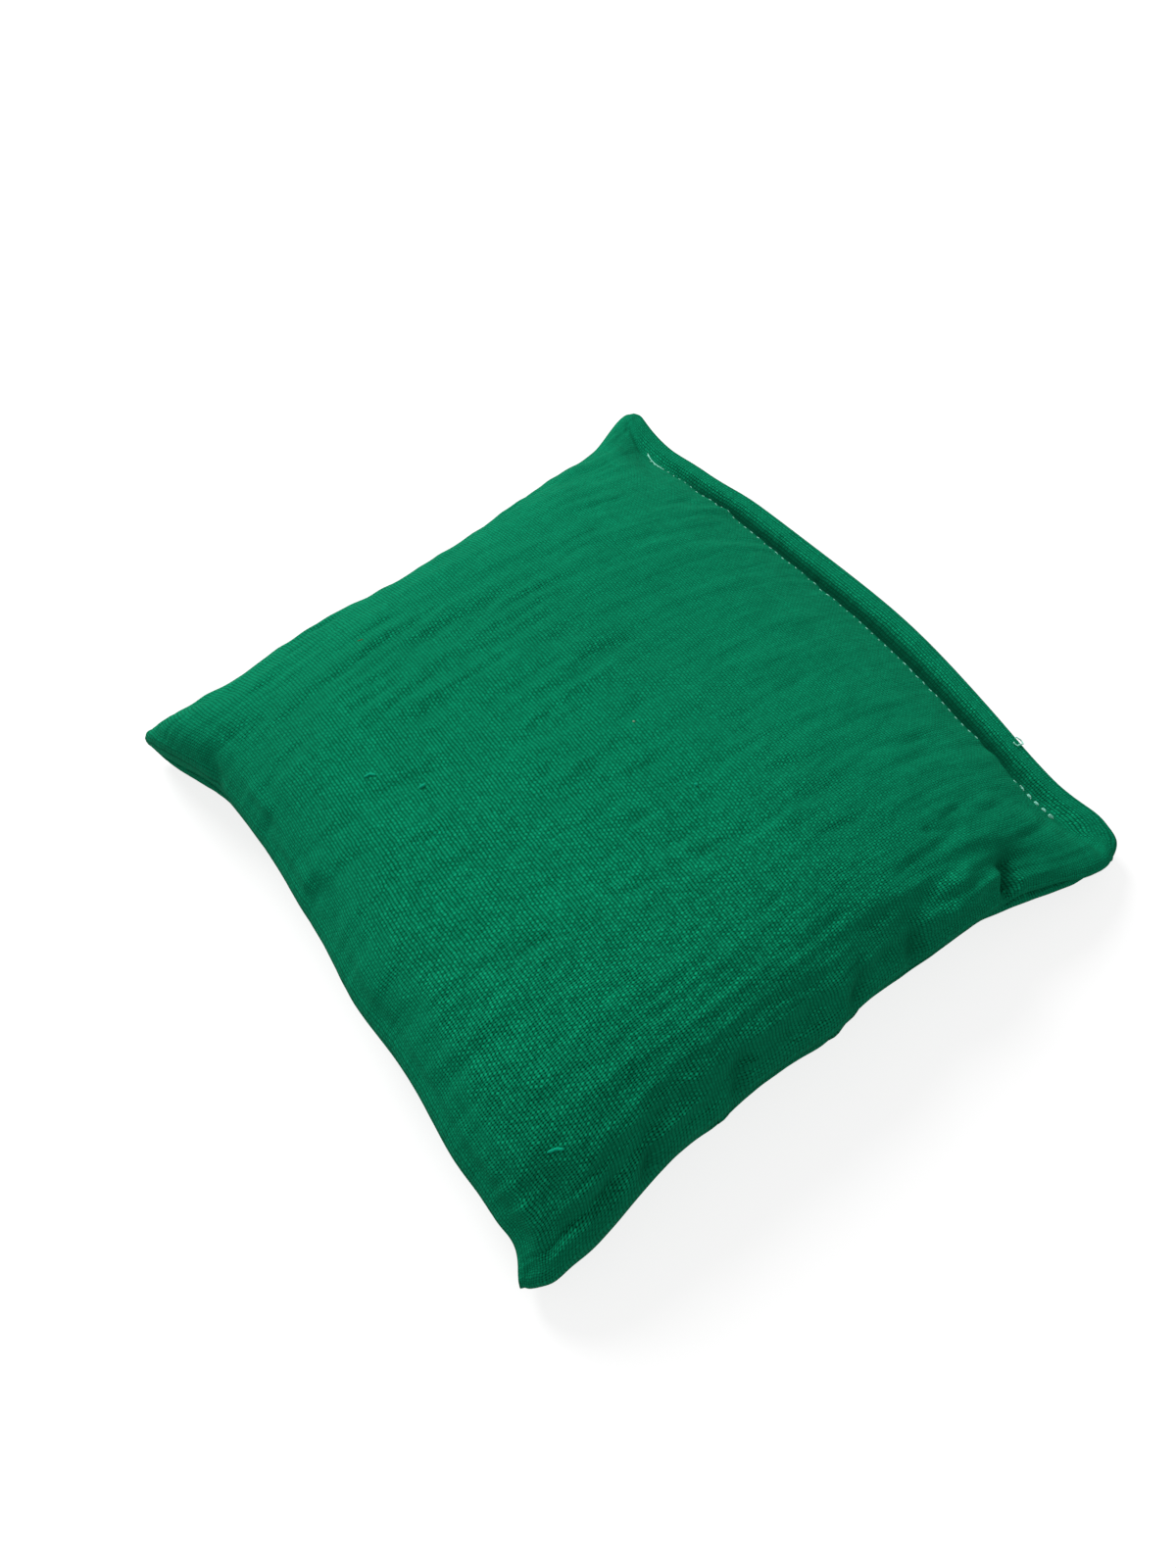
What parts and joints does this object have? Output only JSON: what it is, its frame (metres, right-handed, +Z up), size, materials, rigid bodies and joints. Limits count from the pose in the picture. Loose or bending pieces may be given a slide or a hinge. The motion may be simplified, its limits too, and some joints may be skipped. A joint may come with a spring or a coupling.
{
  "type": "toss bean bag",
  "caption": "Square toss bean bag: two gauze panels seamed round three sides, closed by a topstitched flange on the fourth and filled with dry granules.",
  "frame": {"origin": "centre of the bag's box, on the surface that the bag lies on", "axes": "+Z up through the top panel, +X towards the closed side with the topstitching, Y along that side"},
  "size_m": [0.1308, 0.1394, 0.0295],
  "materials": {
    "gauze": "matt emerald green double gauze, crinkled",
    "thread": "matt off-white sewing thread",
    "granules": "dry granules, out of sight"
  },
  "bodies": {
    "root": {"top_panel": "gauze", "bottom_panel": "gauze", "seam_needle_thread": "thread", "seam_bobbin_thread": "thread", "closing_needle_thread": "thread", "closing_bobbin_thread": "thread", "granule_filling": "granules"}
  },
  "joints": []
}
